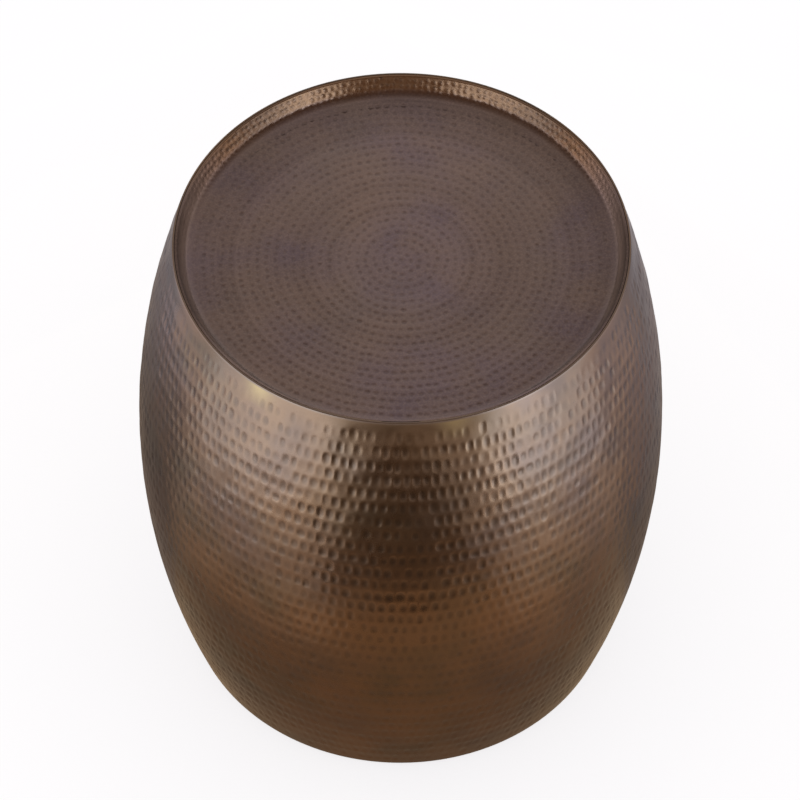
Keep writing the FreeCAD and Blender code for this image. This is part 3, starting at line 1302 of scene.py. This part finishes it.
@dataclass(frozen=True)
class Studio:
    """A white floor in an even white room, low soft lamps, and glowing cards that only the metal sees."""

    room: float = 1.0
    floor_half: float = 9.0
    lamps: tuple[SoftLamp, ...] = (
        SoftLamp(Side.LEFT, radiance=3.3, start=22.5, end=58.0),
        SoftLamp(Side.LEFT, radiance=2.45, start=58.0, end=78.0),
        SoftLamp(Side.LEFT, radiance=1.35, start=80.0, end=116.0, bearing=BACK_BEARING, colour=BACK_LIGHT),
        SoftLamp(Side.RIGHT, radiance=4.4, start=34.0, end=56.0),
        SoftLamp(Side.RIGHT, radiance=2.2, start=56.0, end=78.0),
        SoftLamp(Side.RIGHT, radiance=0.85, start=80.0, end=106.0, bearing=BACK_BEARING, colour=BACK_LIGHT),
    )
    # Each card lies one step above the one below it.
    card_step: float = 0.002
    arc_points: int = 33
    # Warm glowing paper around the drum, darker near it: a painted shadow of the drum.
    paper_radius: float = 0.55
    paper_near: Colour = (0.66, 0.44, 0.25)
    paper_far: Colour = (1.05, 0.76, 0.46)
    paper_fade: tuple[float, float] = (0.20, 0.50)
    paper_centre: tuple[float, float, float] = (-0.05, -0.06, 0.0)
    # A shade behind the drum, on the floor.
    back_near: Colour = (0.40, 0.29, 0.21)
    back_far: Colour = (1.1, 0.98, 0.97)
    back_fade: tuple[float, float] = (0.33, 0.68)
    back_centre: tuple[float, float, float] = (-0.06, 0.05, 0.0)
    back_span: tuple[float, float] = (math.radians(88.0), math.radians(272.0))
    # A bright card at each side.
    glow_near: Colour = (1.0, 0.72, 0.45)
    glow_far: Colour = (1.6, 1.58, 1.55)
    glow_reach: tuple[float, float] = (0.34, 0.95)
    left_span: tuple[float, float] = (math.radians(22.5), math.radians(86.0))
    right_span: tuple[float, float] = (math.radians(36.0), math.radians(84.0))
    # A dark lane before the drum.
    lane_tone: Colour = (0.20, 0.13, 0.070)
    lane_near: float = 0.44
    lane_far: float = 1.6
    lane_half: float = 0.27
    # A dark canopy overhead, pale near the middle of its back edge. Its edges are given along Y and Z.
    canopy_pale: Colour = (0.95, 0.93, 0.91)
    canopy_dark: Colour = (0.34, 0.24, 0.17)
    canopy_half: float = 2.2
    canopy_front: tuple[float, float] = (-2.6, 0.8)
    canopy_back: tuple[float, float] = (1.05, 2.31)
    canopy_fade: tuple[float, float] = (0.1, 1.6)

    def build(self) -> None:
        """Sets up the room, the floor, the lamps and the cards."""
        self.light_room()
        half = self.floor_half
        floor = [(-half, -half, 0.0), (half, -half, 0.0), (half, half, 0.0), (-half, half, 0.0)]
        self.sheet(floor, FloorFinish())
        self.lay_cards()
        for lamp in self.lamps:
            lamp.build()

    def light_room(self) -> None:
        """Fills the room with even light."""
        world = bpy.data.worlds.new("white_room")
        world.use_nodes = True
        world.node_tree.nodes["Background"].inputs["Color"].default_value = (1.0, 1.0, 1.0, 1.0)
        world.node_tree.nodes["Background"].inputs["Strength"].default_value = self.room
        bpy.context.scene.world = world

    def sheet(
        self, corners: list[tuple[float, float, float]], finish: FloorFinish | GlowFinish
    ) -> bpy.types.Object:
        """Makes a flat stage sheet.

        Args:
            corners: Its corners, in order.
            finish: Its finish, which also names it.

        Returns:
            The new sheet.
        """
        mesh = bpy.data.meshes.new(finish.name)
        mesh.from_pydata(corners, [], [tuple(range(len(corners)))])
        mesh.materials.append(finish.material())
        sheet = bpy.data.objects.new(finish.name, mesh)
        bpy.context.scene.collection.objects.link(sheet)
        return sheet

    def card(self, corners: list[tuple[float, float, float]], finish: GlowFinish) -> None:
        """Makes a card that only the metal sees.

        Args:
            corners: Its corners, in order.
            finish: The light it gives off.
        """
        card = self.sheet(corners, finish)
        card.visible_camera = False
        card.visible_diffuse = False
        card.visible_shadow = False

    def arc(self, radius: float, start: float, end: float, up: float) -> list[tuple[float, float, float]]:
        """Finds points on a level arc around the axis.

        Args:
            radius: The arc's radius.
            start: Where it starts, as an angle from the front toward the right.
            end: Where it ends.
            up: Its height.

        Returns:
            The points.
        """
        turns = np.linspace(start, end, self.arc_points)
        return [(radius * math.sin(turn), -radius * math.cos(turn), up) for turn in turns]

    def lay_cards(self) -> None:
        """Lays the paper, the shade behind the drum, the bright cards, the dark lane and the canopy."""
        paper_up = self.card_step
        glow_up = 2 * self.card_step
        lane_up = 3 * self.card_step
        paper = GlowFinish(
            "warm_paper", self.paper_near, self.paper_far, *self.paper_fade, self.paper_centre
        )
        self.card(self.arc(self.paper_radius, 0.0, FULL_TURN, paper_up)[:-1], paper)
        shade = GlowFinish("back_shade", self.back_near, self.back_far, *self.back_fade, self.back_centre)
        self.card(self.arc(self.back_fade[1], *self.back_span, glow_up), shade)
        inner, outer = self.glow_reach
        spans = {Side.LEFT: self.left_span, Side.RIGHT: self.right_span}
        for side, span in spans.items():
            start, end = side.value * span[0], side.value * span[1]
            corners = self.arc(inner, start, end, glow_up) + self.arc(outer, end, start, glow_up)
            self.card(corners, GlowFinish(side.name.lower() + "_glow", self.glow_near, self.glow_far))
        near, far, half = -self.lane_near, -self.lane_far, self.lane_half
        lane = [(-half, far, lane_up), (half, far, lane_up), (half, near, lane_up), (-half, near, lane_up)]
        self.card(lane, GlowFinish("dark_lane", self.lane_tone, self.lane_tone))
        wide, front, back = self.canopy_half, self.canopy_front, self.canopy_back
        canopy = [(-wide, *front), (wide, *front), (wide, *back), (-wide, *back)]
        dark = GlowFinish(
            "dark_canopy", self.canopy_pale, self.canopy_dark, *self.canopy_fade, (0.0, *back)
        )
        self.card(canopy, dark)


@dataclass(frozen=True)
class PhotoCamera:
    """The photograph's camera: a long lens, looking down on the drum from the front."""

    distance: float = 3.905
    elevation: float = math.radians(51.51)
    aim_height: float = 0.2537
    lens: float = 225.0
    sensor: float = 36.0
    roll: float = math.radians(0.3)
    shift: float = -0.001

    def build(self) -> None:
        """Makes the camera and hands it to the scene."""
        camera = bpy.data.objects.new("photo_camera", bpy.data.cameras.new("photo_camera"))
        camera.data.lens = self.lens
        camera.data.sensor_width = self.sensor
        camera.data.shift_x = self.shift
        back = Vector((0.0, -math.cos(self.elevation), math.sin(self.elevation)))
        camera.location = Vector((0.0, 0.0, self.aim_height)) + back * self.distance
        camera.rotation_mode = "QUATERNION"
        tilt = Quaternion((0.0, 0.0, 1.0), self.roll)
        camera.rotation_quaternion = (-back).to_track_quat("-Z", "Y") @ tilt
        bpy.context.scene.collection.objects.link(camera)
        bpy.context.scene.camera = camera


def settle(piece: bpy.types.Object, node: str) -> None:
    """Puts a new piece in the scene, in place of its CAD node.

    Args:
        piece: The piece.
        node: The CAD node that it stands for.
    """
    bpy.context.scene.collection.objects.link(piece)
    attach(piece, BODY)
    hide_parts(node)
    log.info("%s stands for %s, with %d points", piece.name, node, len(piece.data.vertices))


def main() -> None:
    """Builds the scene."""
    logging.basicConfig(level=logging.INFO, format="%(message)s")
    bpy.context.scene.view_settings.view_transform = "Standard"
    PhotoCamera().build()
    Studio().build()
    wall_finish = HammeredBronze(
        "wall_bronze",
        warm=(0.126, 0.064, 0.029),
        olive=(0.072, 0.044, 0.022),
        violet=(0.078, 0.043, 0.028),
        pit=(0.040, 0.021, 0.011),
        highlight_gold=(0.20, 0.125, 0.05),
        edge=(0.115, 0.072, 0.050),
        edge_tint=(0.36, 0.40, 0.47),
        pit_share=0.52,
        coat=0.4,
        coat_roughness=0.28,
    )
    tray_finish = HammeredBronze(
        "tray_bronze",
        warm=(0.157, 0.102, 0.083),
        olive=(0.132, 0.091, 0.080),
        violet=(0.121, 0.083, 0.089),
        pit=(0.060, 0.039, 0.035),
        highlight_gold=(0.162, 0.081, 0.040),
        edge=(0.065, 0.038, 0.026),
        edge_tint=(1.0, 1.0, 1.0),
        pit_start=0.2,
        pit_share=0.40,
        speck_share=0.14,
        pale_roughness=0.15,
        coat=0.1,
        cloud_size=0.08,
        grain_depth=0.00004,
    )
    shell = HammeredShell()
    shell.dress(shell.build(), wall_finish)
    tray = HammeredTray()
    tray.dress(tray.build(), tray_finish)
    Fittings().dress(
        steel=PlainFinish(
            "dark_steel", dark=(0.10, 0.09, 0.085), side_sheen=(0.16, 0.145, 0.135), metallic=1.0, roughness=0.5
        ),
        zinc=PlainFinish(
            "zinc_plate", dark=(0.42, 0.42, 0.41), side_sheen=(0.55, 0.55, 0.53), metallic=1.0, roughness=0.35
        ),
        plastic=PlainFinish(
            "glide_plastic",
            dark=(0.012, 0.012, 0.012),
            side_sheen=(0.022, 0.022, 0.022),
            metallic=0.0,
            roughness=0.45,
        ),
    )


if __name__ == "__main__":
    main()
